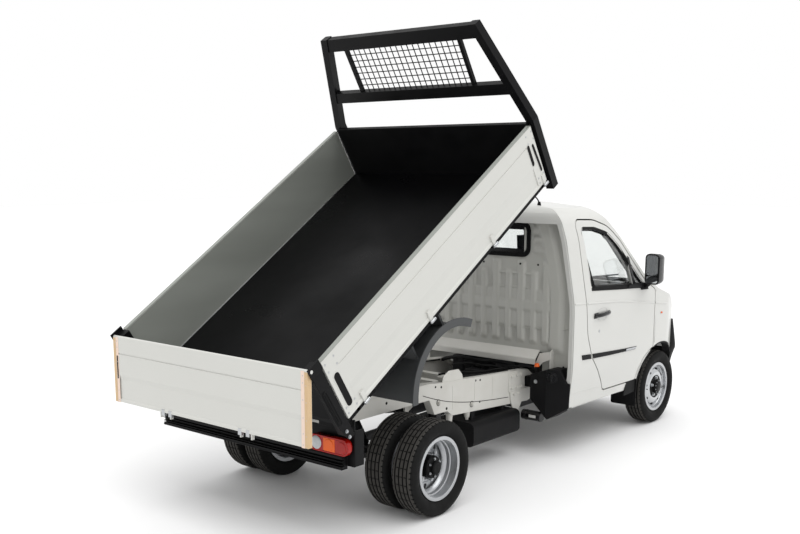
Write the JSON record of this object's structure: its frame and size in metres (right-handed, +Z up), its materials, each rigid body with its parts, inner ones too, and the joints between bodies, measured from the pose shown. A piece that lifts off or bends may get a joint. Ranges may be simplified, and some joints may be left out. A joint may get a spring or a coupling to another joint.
{
  "type": "dump truck",
  "caption": "Light cab-over dump truck with a raised tipping bed, folding side gates, a top-hung tailgate, a guard rack and a telescopic lift cylinder.",
  "frame": {"origin": "on the floor under the middle of the whole truck", "axes": "+Z up, the cab faces -Y, +X is the truck's left side"},
  "size_m": [2, 4.6364, 2.9881],
  "materials": {
    "cab_paint": "gloss off-white",
    "bed_paint": "satin off-white",
    "chassis_paint": "satin off-white",
    "black_coat": "satin black coat",
    "moulded_black": "grained black",
    "trim_black": "smooth black",
    "clear_glass": "clear",
    "lamp_clear": "clear lens",
    "lamp_red": "red and amber lens",
    "tyre_rubber": "matt black",
    "wheel_silver": "silver coat",
    "cast_dark": "dark cast",
    "seat_cloth": "dark woven",
    "rod_chrome": "polished"
  },
  "bodies": {
    "chassis": {"frame_rails": "chassis_paint", "tipper_frame": "chassis_paint", "underrun_beam": "black_coat", "tail_lamps": "lamp_red", "engine": "cast_dark", "driveshaft": "cast_dark", "fuel_tank": "moulded_black", "filler_box": "moulded_black", "front_axle": "cast_dark", "rear_axle": "cast_dark", "rear_springs": "cast_dark", "cab_shell": "cab_paint", "cab_rear_wall": "cab_paint", "front_panel": "trim_black", "front_bumper": "moulded_black", "cab_glass": "clear_glass", "headlamps": "lamp_clear", "seats": "seat_cloth", "dashboard": "moulded_black", "steering_wheel": "moulded_black"},
    "door_left": {"door_panel_left": "cab_paint", "door_glass_left": "clear_glass", "mirror_left": "moulded_black"},
    "knuckle_left": {"knuckle_left": "cast_dark"},
    "front_wheel_left": {"front_tyre_left": "tyre_rubber", "front_rim_left": "wheel_silver"},
    "rear_wheels_left": {"rear_tyres_left": "tyre_rubber", "rear_rims_left": "wheel_silver"},
    "door_right": {"door_panel_right": "cab_paint", "door_glass_right": "clear_glass", "mirror_right": "moulded_black"},
    "knuckle_right": {"knuckle_right": "cast_dark"},
    "front_wheel_right": {"front_tyre_right": "tyre_rubber", "front_rim_right": "wheel_silver"},
    "rear_wheels_right": {"rear_tyres_right": "tyre_rubber", "rear_rims_right": "wheel_silver"},
    "bed": {"bed_floor": "black_coat", "headboard": "black_coat", "rack": "black_coat", "rear_posts": "black_coat", "bed_fenders": "moulded_black"},
    "side_gate_left": {"side_gate_left": "bed_paint"},
    "side_gate_right": {"side_gate_right": "bed_paint"},
    "tailgate": {"tailgate": "bed_paint"},
    "cylinder_barrel": {"cylinder_barrel": "black_coat"},
    "cylinder_stage_1": {"cylinder_stage_1": "rod_chrome"},
    "cylinder_stage_2": {"cylinder_stage_2": "rod_chrome"},
    "cylinder_stage_3": {"cylinder_stage_3": "rod_chrome"}
  },
  "joints": [
    {"name": "steer_left", "type": "hinge", "parent": "chassis", "child": "knuckle_left", "pos_m": [0.6, -1.8402, 0.298], "axis": [0, 0, 1], "range_deg": [-35, 35]},
    {"name": "front_wheel_spin_left", "type": "hinge", "parent": "knuckle_left", "child": "front_wheel_left", "pos_m": [0.715, -1.8402, 0.298], "axis": [1, 0, 0], "continuous": true},
    {"name": "rear_wheel_spin_left", "type": "hinge", "parent": "chassis", "child": "rear_wheels_left", "pos_m": [0.757, 1.1598, 0.298], "axis": [1, 0, 0], "continuous": true},
    {"name": "door_swing_left", "type": "hinge", "parent": "chassis", "child": "door_left", "pos_m": [0.813, -1.6622, 0.95], "axis": [0, 0, -1], "range_deg": [0, 68]},
    {"name": "side_gate_drop_left", "type": "hinge", "parent": "bed", "child": "side_gate_left", "pos_m": [0.856, 1.05933, 1.36609], "axis": [0, 0.8443, -0.5358], "range_deg": [0, 170]},
    {"name": "steer_right", "type": "hinge", "parent": "chassis", "child": "knuckle_right", "pos_m": [-0.6, -1.8402, 0.298], "axis": [0, 0, 1], "range_deg": [-35, 35]},
    {"name": "front_wheel_spin_right", "type": "hinge", "parent": "knuckle_right", "child": "front_wheel_right", "pos_m": [-0.715, -1.8402, 0.298], "axis": [1, 0, 0], "continuous": true},
    {"name": "rear_wheel_spin_right", "type": "hinge", "parent": "chassis", "child": "rear_wheels_right", "pos_m": [-0.757, 1.1598, 0.298], "axis": [1, 0, 0], "continuous": true},
    {"name": "door_swing_right", "type": "hinge", "parent": "chassis", "child": "door_right", "pos_m": [-0.813, -1.6622, 0.95], "axis": [0, 0, 1], "range_deg": [0, 68]},
    {"name": "side_gate_drop_right", "type": "hinge", "parent": "bed", "child": "side_gate_right", "pos_m": [-0.856, 1.05933, 1.36609], "axis": [0, -0.8443, 0.5358], "range_deg": [0, 170]},
    {"name": "bed_tilt", "type": "hinge", "parent": "chassis", "child": "bed", "pos_m": [0, 1.8908, 0.81], "axis": [-1, 0, 0], "range_deg": [-32.4, 0]},
    {"name": "tailgate_swing", "type": "hinge", "parent": "bed", "child": "tailgate", "pos_m": [0, 2.29121, 1.07702], "axis": [1, 0, 0], "range_deg": [-32.4, 60]},
    {"name": "cylinder_sway", "type": "hinge", "parent": "chassis", "child": "cylinder_barrel", "pos_m": [0, 0.5598, 0.43], "axis": [-1, 0, 0], "range_deg": [-18, 0.2]},
    {"name": "stage_1_slide", "type": "slide", "parent": "cylinder_barrel", "child": "cylinder_stage_1", "axis": [0, 0.1307, 0.9914], "range_m": [-0.25174, 0.0005]},
    {"name": "stage_2_slide", "type": "slide", "parent": "cylinder_stage_1", "child": "cylinder_stage_2", "axis": [0, 0.1307, 0.9914], "range_m": [-0.25174, 0.0005]},
    {"name": "stage_3_slide", "type": "slide", "parent": "cylinder_stage_2", "child": "cylinder_stage_3", "axis": [0, 0.1307, 0.9914], "range_m": [-0.25174, 0.0005]}
  ],
  "couplings": [
    {"joint": "steer_right", "follows": "steer_left", "ratio": 1},
    {"joint": "cylinder_sway", "follows": "bed_tilt", "ratio": 0.54936},
    {"joint": "stage_1_slide", "follows": "bed_tilt", "m_per_rad": 0.44429},
    {"joint": "stage_2_slide", "follows": "bed_tilt", "m_per_rad": 0.44429},
    {"joint": "stage_3_slide", "follows": "bed_tilt", "m_per_rad": 0.44429}
  ]
}
